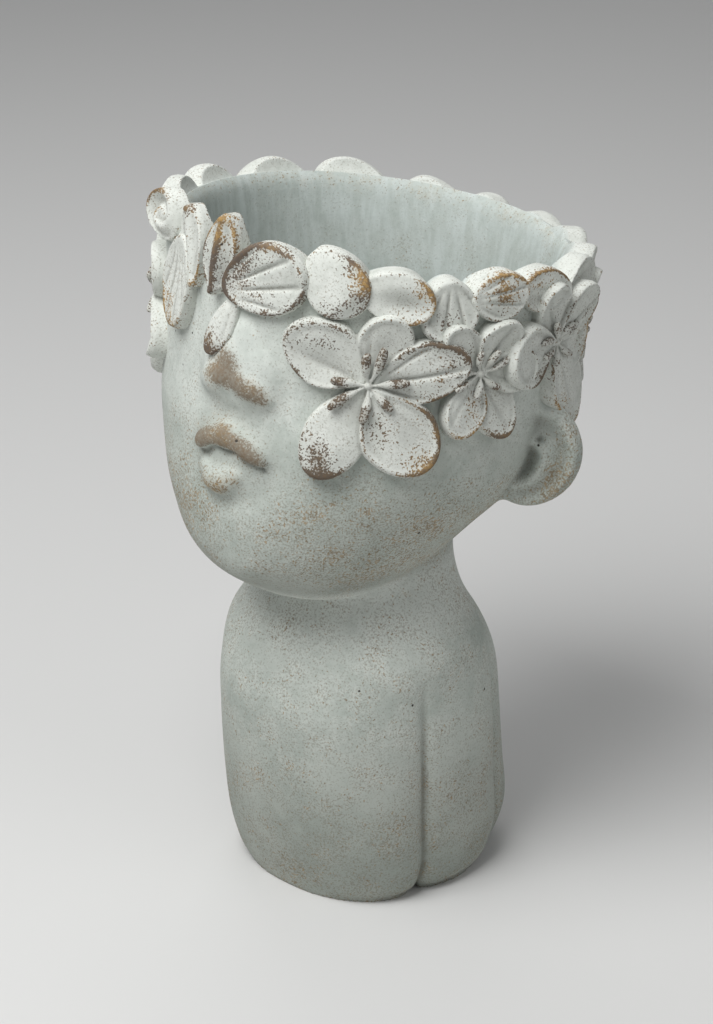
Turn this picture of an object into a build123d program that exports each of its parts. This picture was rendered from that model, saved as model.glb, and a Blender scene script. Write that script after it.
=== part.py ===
import os
from math import acos, cos, degrees, pi, radians, sin

from build123d import *

os.makedirs("parts", exist_ok=True)

# Driving sizes, in millimetres and degrees.
# The origin is the middle of the base, +Z is up, the face looks along -Y and the figure's left is +X.
bust_height = 160
bust_half_width = 54
bust_half_depth = 56
bust_wall = 9
arm_groove_radius = 4
arm_groove_height = 98
arm_groove_azimuths = (72, 126, -126, -72)

head_height = 160
head_half_width = 82
head_half_depth = 82
head_wall = 9
head_pitch = 9
head_pivot_back = -16
head_depth_below_pivot = 20
neck_overlap = 15
pot_floor_drop = 5
neck_roof = 28
crest_height = 13

petal_length = 42
petal_rise = 6
petal_dish_depth = 2.6
leaf_length = 36
leaf_rise = 8
leaf_dish_depth = 2.2
sprig_reach = 30
stamen_radius = 1.7
stamen_knob_radius = 2.1
stamen_sink = 0.8
bead_radius = 3
stamens_each = 7
stamen_turn = 12

ear_height = 46
ear_width = 40
ear_reach = 18
ear_thickness = 12
ear_azimuth = 104
ear_lean = 118
ear_recess_depth = 4
ear_rim_width = 7
ear_rounding = 4

face_azimuth = 4
nose_length = 20
nose_radius = 8
nostril_radius = 6
nostril_spread = 8
lip_length = 22
lip_radius = 5.5
lip_spread = 7
lip_turn = 27

drain_radius = 6
drain_back = -14
plug_clearance = 0.3
plug_flange_radius = 12
plug_flange_thickness = 4
plug_stem_length = 14
plug_grip_radius = 4
plug_grip_height = 7
plug_rounding = 1

overrun = 5

# Heights on the figure that follow from the driving sizes.
head_pivot_height = bust_height - neck_overlap
pot_floor_height = head_pivot_height - pot_floor_drop
bust_hollow_height = pot_floor_height - neck_roof

# Bust sections from the base to the nape: height, half width, half depth and forward shift,
# as shares of the bust's height, half width, half depth and half depth.
bust_section_shares = (
    (0, 0.796, 0.85, -0.043),
    (0.025, 0.911, 0.88, -0.036),
    (0.094, 0.965, 0.955, -0.018),
    (0.25, 0.985, 1.0, -0.057),
    (0.4375, 1.0, 0.993, -0.098),
    (0.575, 0.985, 0.971, -0.132),
    (0.675, 0.974, 0.86, -0.157),
    (0.7625, 0.824, 0.716, -0.132),
    (0.875, 0.678, 0.614, -0.068),
    (1.0, 0.624, 0.573, 0.018),
)
shoulder_place = 5
bust_fullness_shares = (0.66, 0.66, 0.66, 0.66, 0.64, 0.6, 0.57, 0.5523, 0.5523, 0.5523)

# Jaw sections from the chin up, in the same order, as shares of the head's sizes.
jaw_section_shares = (
    (0.047, 0.33, 0.3, -0.256),
    (0.08, 0.415, 0.455, -0.239),
    (0.153, 0.56, 0.648, -0.212),
    (0.259, 0.72, 0.779, -0.15),
    (0.40625, 0.896, 0.884, -0.044),
    (0.4875, 0.929, 0.922, -0.02),
)

# The crown above the jaw is a cone: where it starts up the head, and how much it widens per height.
crown_low_share = 0.5625
crown_slope_share = 0.07

# Places up the head, as shares of its height.
ear_level_share = 0.459
nose_level_share = 0.6125
nostril_level_share = 0.594
upper_lip_level_share = 0.456
lower_lip_level_share = 0.3875

# Parts of a sprig, as shares of its longest petal or of its own length and width.
hub_share = 0.13
stamen_length_share = 0.25
petal_dish_place_share = 0.62
petal_dish_reach_share = 0.36
leaf_dish_place_shares = (0.125, 0.227)
leaf_dish_reach_share = 0.2
brow_dish_reach_share = 0.33

# Flowers of the wreath: azimuth from the face towards the figure's left, level up the head, longest
# petal as a share of petal_length, then for each petal its angle, and length and width of the longest.
flower_shares = {
    "left_eye_flower": (42, 0.669, 1.0, ((150, 0.8, 0.66), (75, 0.68, 0.5), (18, 0.86, 0.6),
                                         (-55, 0.95, 0.66), (-115, 1.0, 0.58))),
    "left_temple_flower": (71.5, 0.706, 0.74, ((-104, 0.84, 0.6), (-56, 1.0, 0.62), (2, 0.84, 0.6),
                                               (62, 0.74, 0.56), (128, 0.74, 0.5))),
    "left_ear_flower": (99, 0.756, 0.76, ((200, 0.86, 0.84), (-71, 1.08, 0.62), (-20, 0.84, 0.7),
                                          (42, 0.84, 0.66), (112, 0.8, 0.6))),
    "left_nape_flower": (127, 0.725, 0.79, ((100, 0.8, 0.6), (30, 0.84, 0.64), (-42, 1.0, 0.66),
                                            (-112, 0.95, 0.6), (176, 0.84, 0.6))),
    "back_flower": (160, 0.6875, 0.9, ((86, 0.76, 0.6), (14, 0.86, 0.62), (-58, 1.0, 0.64),
                                       (-128, 0.95, 0.62), (158, 0.84, 0.6))),
    "right_nape_flower": (-162, 0.731, 0.76, ((118, 0.8, 0.62), (46, 0.8, 0.6), (-28, 0.9, 0.66),
                                              (-98, 1.0, 0.62), (-170, 0.88, 0.62))),
    "right_ear_flower": (-130, 0.7125, 0.83, ((96, 0.78, 0.6), (24, 0.9, 0.62), (-50, 1.0, 0.64),
                                              (-120, 0.94, 0.62), (166, 0.86, 0.62))),
    "right_temple_flower": (-96, 0.7375, 0.79, ((128, 0.78, 0.6), (60, 0.8, 0.6), (-14, 0.9, 0.62),
                                                (-86, 1.0, 0.64), (-158, 0.9, 0.64))),
    "right_eye_flower": (-58, 0.7, 0.9, ((108, 0.72, 0.58), (36, 0.82, 0.6), (-36, 0.9, 0.62),
                                         (-106, 1.0, 0.64), (-176, 0.9, 0.62))),
}

# Leaves and curled petals along the rim: azimuth, level up the head, length and width as shares of
# leaf_length, turn in the surface, and rise of the scallop behind as a share of crest_height.
rim_leaf_shares = {
    "front_rim_leaf": (12, 0.869, 1.0, 0.75, 12, 0.38),
    "left_brow_rim_leaf": (31, 0.891, 0.78, 0.64, -42, 0.62),
    "left_eye_rim_leaf": (46, 0.878, 0.86, 0.53, -8, 0.15),
    "left_temple_rim_leaf": (61, 0.853, 0.67, 0.5, -84, 0.04),
    "left_ear_rim_leaf": (74, 0.891, 0.61, 0.5, 6, 0.27),
    "left_side_rim_leaf": (90, 0.891, 0.72, 0.42, -12, 0.31),
    "left_nape_rim_leaf": (109, 0.881, 0.72, 0.5, 14, 0.38),
    "left_back_rim_leaf": (128, 0.875, 0.75, 0.56, -22, 0.38),
    "back_left_rim_leaf": (147, 0.869, 0.75, 0.56, 18, 0.31),
    "back_rim_leaf": (166, 0.869, 0.75, 0.56, -14, 0.27),
    "back_right_rim_leaf": (-174, 0.869, 0.72, 0.56, 24, 0.35),
    "right_back_rim_leaf": (-155, 0.875, 0.75, 0.58, -18, 0.54),
    "right_nape_rim_leaf": (-132, 0.881, 0.94, 0.67, 10, 0.77),
    "right_ear_rim_leaf": (-106, 0.881, 0.89, 0.67, -12, 0.73),
    "right_side_rim_leaf": (-82, 0.881, 0.83, 0.61, 16, 0.69),
    "right_temple_rim_leaf": (-60, 0.8875, 0.78, 0.56, -20, 0.69),
    "rim_rosette": (-36, 0.919, 0.61, 0.58, 90, 0.77),
    "folded_petal": (-2, 0.906, 0.86, 0.39, 80, 0.85),
    "right_brow_rim_leaf": (-14, 0.894, 0.83, 0.42, 98, 0.81),
}

# Leaves that hang over the brow: azimuth, level, length, width and turn, in the same terms.
brow_leaf_shares = {
    "streaked_brow_leaf": (-21, 0.8, 1.05, 0.61, -98),
    "forehead_bud": (4, 0.7625, 0.75, 0.39, -110),
}

# What a cut leaves is dropped when it is less than this share of the sprig.
crumb_share = 0.06

seated = (Align.CENTER, Align.CENTER, Align.MIN)
head_top = head_height - head_depth_below_pivot
rim_level = head_top - crest_height
head_plane = Plane(
    origin=(0, head_pivot_back, head_pivot_height),
    x_dir=(1, 0, 0),
    z_dir=(0, sin(radians(head_pitch)), cos(radians(head_pitch))),
)


def level_at(share):
    """The height along the head's axis, from its pivot, at a share of the head."""
    return share * head_height - head_depth_below_pivot


crown_low = level_at(crown_low_share)


def bust_section(plane, half_width, half_depth, shift, fullness_share):
    """One closed section of four matching curves, round or a little square by its fullness."""
    corners = ((half_width, 0), (0, half_depth), (-half_width, 0), (0, -half_depth))
    with BuildSketch(plane) as slice_of_bust:
        with BuildLine():
            for start, end in zip(corners, corners[1:] + corners[:1]):
                leaving = (start[0] + fullness_share * end[0], start[1] + fullness_share * end[1])
                arriving = (end[0] + fullness_share * start[0], end[1] + fullness_share * start[1])
                Bezier(*((x, y + shift) for x, y in (start, leaving, arriving, end)))
        make_face()
    return slice_of_bust.sketch


def bust_form(wall):
    """The torso with its arms and neck, drawn in by a wall."""
    sections = [
        bust_section(
            Plane.XY.offset(shares[0] * bust_height),
            shares[1] * bust_half_width - wall,
            shares[2] * bust_half_depth - wall,
            shares[3] * bust_half_depth,
            fullness_share,
        )
        for shares, fullness_share in zip(bust_section_shares, bust_fullness_shares)
    ]
    with BuildPart() as form:
        loft(sections)
    return form.part


def crown_radius(level):
    """The radius of the round upper head at a height up its axis."""
    return head_half_width - crown_slope_share * (head_top - level)


def crown_cone(growth, low, high):
    """The round upper head between two heights, grown outwards by one distance."""
    with BuildPart(head_plane.offset(low)) as cone:
        Cone(crown_radius(low) + growth, crown_radius(high) + growth, high - low, align=seated)
    return cone.part


def jaw_section(level, half_width, half_depth, shift):
    """One elliptical section of the jaw, in quarters so that the sections match."""
    with BuildSketch(head_plane.offset(level)) as slice_of_jaw:
        with BuildLine():
            for start in range(0, 360, 90):
                EllipticalCenterArc((0, shift), half_width, half_depth, start, arc_size=90)
        make_face()
    return slice_of_jaw.sketch


def head_form(growth, top):
    """The head in its pitched plane, the jaw below the crown's cone, grown by one distance."""
    sections = [
        jaw_section(
            level_at(shares[0]),
            shares[1] * head_half_width + growth,
            shares[2] * head_half_depth + growth,
            shares[3] * head_half_depth,
        )
        for shares in jaw_section_shares
    ]
    round_radius = crown_radius(crown_low) + growth
    sections.append(jaw_section(crown_low, round_radius, round_radius, 0))
    with BuildPart() as form:
        loft(sections)
        add(crown_cone(growth, crown_low, top))
    return form.part


head_solid = head_form(0, head_top)


def outward_at(azimuth):
    """The direction away from the head's axis, in the head's own frame."""
    return Vector(sin(radians(azimuth)), -cos(radians(azimuth)), 0)


def seat(azimuth, level):
    """The plane that touches the crown at an azimuth and a height, with x to the right and y up."""
    local_point = outward_at(azimuth) * crown_radius(level) + Vector(0, 0, level)
    point = head_plane.from_local_coords(local_point)
    local_normal = outward_at(azimuth) - Vector(0, 0, crown_slope_share)
    normal = head_plane.from_local_coords(local_normal) - head_plane.origin
    return Plane(origin=point, x_dir=head_plane.z_dir.cross(normal), z_dir=normal)


def seat_beside(azimuth, level, x, y):
    """The seat that lies x to the right of another and y above it, along the surface."""
    return seat(azimuth + degrees(x / crown_radius(level)), level + y)


def turned(plane, angle):
    """The same plane, turned in itself from its x towards its y."""
    x_dir = plane.x_dir * cos(radians(angle)) + plane.y_dir * sin(radians(angle))
    return Plane(origin=plane.origin, x_dir=x_dir, z_dir=plane.z_dir)


def petal_outline(length, width, start):
    """A petal with a pointed foot and a round tip, along x from its start."""
    tip_radius = width / 2
    middle = length - tip_radius
    spread = acos(tip_radius / middle)
    swing = (pi - spread) / 2
    with BuildSketch() as outline:
        with BuildLine():
            for side in (1, -1):
                touch = (start + middle - tip_radius * cos(spread), side * tip_radius * sin(spread))
                halfway = (start + middle + tip_radius * cos(swing), side * tip_radius * sin(swing))
                Line((start, 0), touch)
                ThreePointArc(touch, halfway, (start + length, 0))
        make_face()
    return outline.sketch


def sprig_layer(rise):
    """The round layer that sprigs are cut from, from inside the head's wall to their rise above it."""
    low = level_at(0) + sprig_reach
    with BuildPart() as layer:
        add(crown_cone(rise, low, head_top))
        add(crown_cone(-head_wall / 2, low, head_top), mode=Mode.SUBTRACT)
    return layer.part


petal_layer = sprig_layer(petal_rise)
leaf_layer = sprig_layer(leaf_rise)


def sprig_blank(plane, outline):
    """An outline pushed right through the layer of the wreath."""
    with BuildPart() as blank:
        with BuildSketch(plane):
            add(outline)
        extrude(amount=sprig_reach, both=True)
    return blank.part


def dish(plane, reach, depth, rise):
    """The ball that hollows a sprig of a given rise to a depth, over a reach each way."""
    ball_radius = (reach**2 + depth**2) / (2 * depth)
    centre = plane.from_local_coords(Vector(0, 0, rise + ball_radius - depth))
    return Pos(*centre) * Sphere(ball_radius, mode=Mode.PRIVATE)


def sprig_body(blank, layer, dishes):
    """A sprig with its hollows, still uncut by its neighbours and by the head."""
    with BuildPart() as body:
        add(blank)
        add(layer, mode=Mode.INTERSECT)
        for ball in dishes:
            add(ball, mode=Mode.SUBTRACT)
    return body.part


def near(part, other):
    """Whether the boxes of two parts meet."""
    box, other_box = part.bounding_box(), other.bounding_box()
    return all(
        low <= other_high and other_low <= high
        for low, high, other_low, other_high in zip(box.min, box.max, other_box.min, other_box.max)
    )


blanks_over = []


def write_sprig(name, body):
    """Cut a sprig round those that lie over it and off the head, drop the crumbs, and write it."""
    with BuildPart() as cut:
        add(body)
        for blank in blanks_over:
            if near(blank, body):
                add(blank, mode=Mode.SUBTRACT)
        add(head_solid, mode=Mode.SUBTRACT)
    whole = cut.part.volume
    sprig = Compound(
        label=name,
        children=[solid for solid in cut.part.solids() if solid.volume > crumb_share * whole],
    )
    export_step(sprig, f"parts/{name}.step")


# Rim leaves, each with a hollow each side of its middle rib
for name, (azimuth, level_share, length_share, width_share, turn, _) in rim_leaf_shares.items():
    level = level_at(level_share)
    length, width = length_share * leaf_length, width_share * leaf_length
    leaf_seat = turned(seat(azimuth, level), turn)
    leaf_blank = sprig_blank(leaf_seat, petal_outline(length, width, -length / 2))
    leaf_dishes = []
    for side in (1, -1):
        along, across = leaf_dish_place_shares[0] * length, side * leaf_dish_place_shares[1] * width
        x = along * cos(radians(turn)) - across * sin(radians(turn))
        y = along * sin(radians(turn)) + across * cos(radians(turn))
        beside = seat_beside(azimuth, level, x, y)
        leaf_dishes.append(dish(beside, leaf_dish_reach_share * width, leaf_dish_depth, leaf_rise))
    write_sprig(name, sprig_body(leaf_blank, leaf_layer, leaf_dishes))
    blanks_over.append(leaf_blank)

# Leaves over the brow, each with one hollow
for name, (azimuth, level_share, length_share, width_share, turn) in brow_leaf_shares.items():
    level = level_at(level_share)
    length, width = length_share * leaf_length, width_share * leaf_length
    leaf_blank = sprig_blank(turned(seat(azimuth, level), turn), petal_outline(length, width, -length / 2))
    hollow = dish(seat(azimuth, level), brow_dish_reach_share * width, petal_dish_depth, petal_rise)
    write_sprig(name, sprig_body(leaf_blank, petal_layer, [hollow]))
    blanks_over.append(leaf_blank)

# Flowers: the petals in one sprig round a hub, and a spray of stamens let into a flat on them
for name, (azimuth, level_share, radius_share, petals) in flower_shares.items():
    level = level_at(level_share)
    radius = radius_share * petal_length
    with BuildSketch() as outline:
        Circle(hub_share * radius)
        for angle, length_share, width_share in petals:
            add(petal_outline(length_share * radius, width_share * radius, 0), rotation=angle)
    flower_blank = sprig_blank(seat(azimuth, level), outline.sketch)
    flower_dishes = []
    for angle, length_share, width_share in petals:
        out = petal_dish_place_share * length_share * radius
        beside = seat_beside(azimuth, level, out * cos(radians(angle)), out * sin(radians(angle)))
        reach = petal_dish_reach_share * width_share * radius
        flower_dishes.append(dish(beside, reach, petal_dish_depth, petal_rise))
    flat = seat(azimuth, level).offset(petal_rise - stamen_sink)
    stamen_length = stamen_length_share * radius
    with BuildPart() as stamens:
        with Locations(flat.location):
            Sphere(bead_radius, arc_size1=0, align=seated)
        for number in range(stamens_each):
            spoke = turned(flat, stamen_turn + number * 360 / stamens_each)
            with BuildSketch(Plane(origin=spoke.origin, x_dir=spoke.y_dir, z_dir=spoke.x_dir)):
                Circle(stamen_radius)
                split(bisect_by=Plane.XZ, keep=Keep.BOTTOM)
            extrude(amount=stamen_length)
            knob_seat = Plane(origin=spoke.from_local_coords(Vector(stamen_length, 0, 0)),
                              x_dir=spoke.x_dir, z_dir=spoke.z_dir)
            with Locations(knob_seat.location):
                Sphere(stamen_knob_radius, arc_size1=0, align=seated)
    with BuildPart() as flower:
        add(sprig_body(flower_blank, petal_layer, flower_dishes))
        with BuildSketch(flat):
            Circle(stamen_length + stamen_knob_radius)
        extrude(amount=sprig_reach, mode=Mode.SUBTRACT)
    write_sprig(f"{name}_stamens", stamens.part)
    write_sprig(name, flower.part)
    blanks_over.append(flower_blank)

# Ears: leaning plates with a hollow in front, the right one mirrored
lean_direction = head_plane.from_local_coords(outward_at(ear_lean)) - head_plane.origin
ear_plane = Plane(
    origin=seat(ear_azimuth, level_at(ear_level_share)).origin,
    x_dir=lean_direction,
    z_dir=lean_direction.cross(head_plane.z_dir),
)
ear_middle = ear_reach - ear_width / 2
with BuildPart() as left_ear:
    with BuildSketch(ear_plane):
        with Locations((ear_middle, 0)):
            Ellipse(ear_width / 2, ear_height / 2)
    extrude(amount=ear_thickness / 2, both=True)
    fillet(left_ear.edges().filter_by(GeomType.ELLIPSE), ear_rounding)
    with BuildSketch(ear_plane.offset(ear_thickness / 2)):
        with Locations((ear_middle, 0)):
            Ellipse(ear_width / 2 - ear_rim_width, ear_height / 2 - ear_rim_width)
    extrude(amount=-ear_recess_depth, mode=Mode.SUBTRACT)
with BuildPart() as right_ear:
    add(left_ear.part)
    mirror(about=Plane.YZ, mode=Mode.REPLACE)
write_sprig("left_ear", left_ear.part)
write_sprig("right_ear", right_ear.part)


def swelling(level_share, x, turn, length, radius):
    """A rounded swelling on the face, its long axis turned in the surface, x to one side."""
    plane = turned(seat_beside(face_azimuth, level_at(level_share), x, 0), turn)
    with BuildPart() as egg:
        with BuildSketch(plane):
            Ellipse(length / 2, radius)
            split(bisect_by=Plane.XZ, keep=Keep.TOP)
        revolve(axis=Axis(plane.origin, plane.x_dir))
    return egg.part


# Planting pot of the head, with the scalloped rim, the nose and the pursed lips
with BuildPart() as cavity:
    add(head_form(-head_wall, head_top + overrun))
    split(bisect_by=Plane.XY.offset(pot_floor_height), keep=Keep.TOP)

crest_waste = crown_cone(2 * head_wall, rim_level, head_top + overrun)
for azimuth, _, length_share, _, _, rise_share in rim_leaf_shares.values():
    scallop_radius = length_share * leaf_length / 2
    level = rim_level + rise_share * crest_height - scallop_radius
    inside = outward_at(azimuth) * (crown_radius(level) - 3 * head_wall) + Vector(0, 0, level)
    scallop_plane = Plane(
        origin=head_plane.from_local_coords(inside),
        x_dir=head_plane.z_dir,
        z_dir=head_plane.from_local_coords(outward_at(azimuth)) - head_plane.origin,
    )
    with BuildPart() as waste:
        add(crest_waste)
        with BuildSketch(scallop_plane):
            Circle(scallop_radius)
        extrude(amount=6 * head_wall, mode=Mode.SUBTRACT)
    crest_waste = waste.part

swellings = [
    swelling(nose_level_share, 0, 90, nose_length, nose_radius),
    swelling(lower_lip_level_share, 0, 0, lip_length, lip_radius),
]
for side in (1, -1):
    swellings.append(
        swelling(nostril_level_share, side * nostril_spread, 0, 2 * nostril_radius, nostril_radius)
    )
    swellings.append(
        swelling(upper_lip_level_share, side * lip_spread, -side * lip_turn, lip_length, lip_radius)
    )

with BuildPart() as head_pot:
    add(head_solid)
    for form in swellings:
        add(form)
    add(cavity.part, mode=Mode.SUBTRACT)
    add(crest_waste, mode=Mode.SUBTRACT)
    with BuildSketch(Plane.XY.offset(pot_floor_height)):
        with Locations((0, drain_back)):
            Circle(drain_radius)
    extrude(amount=-neck_roof, mode=Mode.SUBTRACT)
head_pot.part.label = "head_pot"
export_step(head_pot.part, "parts/head_pot.step")

# Hollow bust, grooved between torso and arms, with the seat that carries the head
with BuildPart() as bust_hollow:
    add(bust_form(bust_wall))
    split(bisect_by=Plane.XY.offset(bust_hollow_height), keep=Keep.BOTTOM)
with BuildPart() as bust:
    add(bust_form(0))
    add(bust_hollow.part, mode=Mode.SUBTRACT)
    add(head_solid, mode=Mode.SUBTRACT)
    for azimuth in arm_groove_azimuths:
        side = outward_at(azimuth)
        edge = Vector(bust_half_width * side.X, bust_half_depth * side.Y, 0)
        base_shift, shoulder_shift = (
            Vector(0, bust_section_shares[place][3] * bust_half_depth, 0) for place in (0, shoulder_place)
        )
        foot = edge + side * arm_groove_radius / 3 + base_shift
        head = edge + side * arm_groove_radius + shoulder_shift + Vector(0, 0, arm_groove_height)
        with BuildSketch(Plane(origin=foot, z_dir=head - foot).offset(-overrun)):
            Circle(arm_groove_radius)
        extrude(amount=(head - foot).length + overrun, mode=Mode.SUBTRACT)
    with BuildSketch(Plane.XY.offset(bust_hollow_height)):
        with Locations((0, drain_back)):
            Circle(drain_radius)
    extrude(amount=neck_roof, mode=Mode.SUBTRACT)
bust.part.label = "bust"
export_step(bust.part, "parts/bust.step")

# Rubber drain plug, dropped into the drain hole from inside the pot
with BuildPart() as drain_plug:
    with BuildSketch(Plane.XY.offset(pot_floor_height)):
        with Locations((0, drain_back)):
            Circle(plug_flange_radius)
    extrude(amount=plug_flange_thickness)
    fillet(drain_plug.edges().group_by(Axis.Z)[-1], plug_rounding)
    with BuildSketch(Plane.XY.offset(pot_floor_height)):
        with Locations((0, drain_back)):
            Circle(drain_radius - plug_clearance)
    extrude(amount=-plug_stem_length)
    chamfer(drain_plug.edges().group_by(Axis.Z)[0], plug_rounding)
    with BuildSketch(Plane.XY.offset(pot_floor_height + plug_flange_thickness)):
        with Locations((0, drain_back)):
            Circle(plug_grip_radius)
    extrude(amount=plug_grip_height)
    fillet(drain_plug.edges().group_by(Axis.Z)[-1], plug_rounding)
drain_plug.part.label = "drain_plug"
export_step(drain_plug.part, "parts/drain_plug.step")
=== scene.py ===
import math

import bpy
import numpy as np
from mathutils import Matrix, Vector


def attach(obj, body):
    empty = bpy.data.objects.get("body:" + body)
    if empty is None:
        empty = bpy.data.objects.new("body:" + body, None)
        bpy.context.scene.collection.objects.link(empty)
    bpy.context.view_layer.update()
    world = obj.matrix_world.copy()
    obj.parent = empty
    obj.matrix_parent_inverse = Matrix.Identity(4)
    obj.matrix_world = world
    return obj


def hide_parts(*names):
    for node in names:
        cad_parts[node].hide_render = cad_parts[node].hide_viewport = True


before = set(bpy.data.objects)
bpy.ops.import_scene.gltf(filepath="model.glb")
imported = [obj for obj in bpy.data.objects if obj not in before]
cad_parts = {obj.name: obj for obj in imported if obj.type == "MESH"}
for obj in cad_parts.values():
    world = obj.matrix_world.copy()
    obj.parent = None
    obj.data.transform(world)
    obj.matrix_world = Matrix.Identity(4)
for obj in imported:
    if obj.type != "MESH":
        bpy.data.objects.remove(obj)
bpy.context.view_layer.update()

bpy.ops.object.select_all(action="DESELECT")

# The studio: a wide sheet of pale paper under an even pale sky, a large soft lamp high on the
# camera's left, two weaker ones on its right and behind, and a camera that looks down on the
# figure's left cheek.
aim = Vector((0, 0, 0.15))
camera_azimuth, camera_elevation, camera_distance = math.radians(42), math.radians(25), 1.25
camera_shift_right, camera_shift_up = -0.0054, 0.0008
sensor_width_mm, lens_mm = 36, 109.7
towards_camera = Vector((
    math.sin(camera_azimuth) * math.cos(camera_elevation),
    -math.cos(camera_azimuth) * math.cos(camera_elevation),
    math.sin(camera_elevation),
))
camera_right = Vector((math.cos(camera_azimuth), math.sin(camera_azimuth), 0))
camera_up = towards_camera.cross(camera_right)
bpy.ops.object.camera_add(
    location=aim + towards_camera * camera_distance
    + camera_right * camera_shift_right + camera_up * camera_shift_up
)
camera = bpy.context.object
camera.rotation_euler = towards_camera.to_track_quat("Z", "Y").to_euler()
camera.data.sensor_width = sensor_width_mm
camera.data.lens = lens_mm
bpy.context.scene.camera = camera


def lamp(name, right, towards, high, size, watts):
    """A square soft lamp, placed from the aim along the camera's right, towards the camera and up."""
    flat_towards = Vector((towards_camera.x, towards_camera.y, 0)).normalized()
    offset = camera_right * right + flat_towards * towards + Vector((0, 0, high))
    bpy.ops.object.light_add(type="AREA", location=aim + offset)
    light = bpy.context.object
    light.name = name
    light.rotation_euler = offset.to_track_quat("Z", "Y").to_euler()
    light.data.size = size
    light.data.energy = watts


lamp("key_lamp", -0.46, 0.52, 1.1, 0.75, 18)
lamp("fill_lamp", 0.9, 0.7, 0.85, 0.9, 2.2)
lamp("back_lamp", -0.1, -0.7, 0.9, 0.6, 2.2)

floor_size, paper_colour = 12, (0.64, 0.64, 0.63, 1)
bpy.ops.mesh.primitive_plane_add(size=floor_size)
floor = bpy.context.object
floor.name = "floor"
floor_material = bpy.data.materials.new("pale_paper")
floor_material.use_nodes = True
floor_shader = floor_material.node_tree.nodes["Principled BSDF"]
floor_shader.inputs["Base Color"].default_value = paper_colour
floor_shader.inputs["Roughness"].default_value = 0.9
floor.data.materials.append(floor_material)

sky_light, sky_seen, sky_colour = 0.2, 0.86, (0.97, 0.98, 1, 1)
world = bpy.data.worlds.new("studio")
bpy.context.scene.world = world
world.use_nodes = True
sky_tree = world.node_tree
sky = sky_tree.nodes["Background"]
rays = sky_tree.nodes.new("ShaderNodeLightPath")
strength = sky_tree.nodes.new("ShaderNodeMapRange")
strength.inputs["To Min"].default_value = sky_light
strength.inputs["To Max"].default_value = sky_seen
seen = rays.outputs["Is Camera Ray"]
for ray in ("Is Glossy Ray", "Is Transmission Ray"):
    either = sky_tree.nodes.new("ShaderNodeMath")
    either.operation = "ADD"
    either.use_clamp = True
    sky_tree.links.new(seen, either.inputs[0])
    sky_tree.links.new(rays.outputs[ray], either.inputs[1])
    seen = either.outputs[0]
sky_tree.links.new(seen, strength.inputs["Value"])
sky_tree.links.new(strength.outputs["Result"], sky.inputs["Strength"])
sky.inputs["Color"].default_value = sky_colour
bpy.context.scene.view_settings.view_transform = "Standard"

# The casting: jaw, face, crown and torso, one smooth form of pale cement. It is blown up from round
# rings, its nose, lips and ears are laid on as rolls of clay, and one skin is drawn over them all.
head_pivot = np.array((0, -0.016, 0.145))
head_pitch = math.radians(9)
head_axes = np.array((
    (1, 0, 0),
    (0, math.cos(head_pitch), -math.sin(head_pitch)),
    (0, math.sin(head_pitch), math.cos(head_pitch)),
))
head_top, crown_slope, head_radius = 0.14, 0.07, 0.082
face_azimuth = math.radians(4)
rim_level = 0.127
skin_voxel = 0.0011


def to_row(local):
    """Places in the pitched head's own frame, as places in the part's frame."""
    return head_pivot + local @ head_axes


def to_head(places):
    """Places in the part's frame, as azimuth, level and distance from the head's axis."""
    x, y, level = ((places - head_pivot) @ head_axes.T).T
    return np.arctan2(x, -y), level, np.hypot(x, y)


def crown_radius(level):
    """The radius of the round upper head at a level."""
    return head_radius - crown_slope * (head_top - level)


def on_head(azimuth, level, height):
    """Places that stand a height out from the crown, in the part's frame."""
    reach = crown_radius(level) + height
    return to_row(np.stack(
        [np.sin(azimuth) * reach, -np.cos(azimuth) * reach, level + 0 * reach], axis=-1
    ))


def fade(values, low, high):
    """0 below low and 1 above high, with a soft step between."""
    share = np.clip((values - low) / (high - low), 0, 1)
    return share * share * (3 - 2 * share)


def points(piece):
    """The places of a piece's vertices."""
    flat = np.empty(len(piece.data.vertices) * 3, np.float32)
    piece.data.vertices.foreach_get("co", flat)
    return flat.reshape(-1, 3).astype(float)


def normals(piece):
    """The directions in which a piece's surface faces at its vertices."""
    flat = np.empty(len(piece.data.vertices) * 3, np.float32)
    piece.data.vertices.foreach_get("normal", flat)
    return flat.reshape(-1, 3).astype(float)


def move(piece, places):
    """Puts a piece's vertices at these places."""
    piece.data.vertices.foreach_set("co", places.astype(np.float32).ravel())
    piece.data.update()


def relaxed(piece, places, rounds):
    """The places after each vertex has gone half-way to its neighbours' mean, round after round."""
    ends = np.empty(len(piece.data.edges) * 2, np.int32)
    piece.data.edges.foreach_get("vertices", ends)
    one, other = ends.reshape(-1, 2).T
    count = np.bincount(one, minlength=len(places)) + np.bincount(other, minlength=len(places))
    for _ in range(rounds):
        total = np.stack([
            np.bincount(one, places[other, k], len(places))
            + np.bincount(other, places[one, k], len(places))
            for k in range(3)
        ], axis=1)
        places = (places + total / count[:, None]) / 2
    return places


def bulge(piece, rounds):
    """How far each vertex stands out of the surface round it, less than nothing in a hollow."""
    places = points(piece)
    return ((places - relaxed(piece, places, rounds)) * normals(piece)).sum(axis=1)


def fill_hollows(piece, rounds, share=1.0):
    """Softens the inner corners of a piece and leaves its edges as they are."""
    depth = np.maximum(0, -bulge(piece, rounds)) * share
    move(piece, points(piece) + normals(piece) * depth[:, None])


def select(*pieces):
    """Selects these pieces alone, with the first one active."""
    bpy.ops.object.select_all(action="DESELECT")
    for piece in pieces:
        piece.select_set(True)
    bpy.context.view_layer.objects.active = pieces[0]


def finish_modifier(piece, kind, **settings):
    """Adds one modifier to a piece, with these settings, and applies it."""
    select(piece)
    modifier = piece.modifiers.new(kind.lower(), kind)
    for setting, value in settings.items():
        setattr(modifier, setting, value)
    bpy.ops.object.modifier_apply(modifier=modifier.name)


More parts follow.
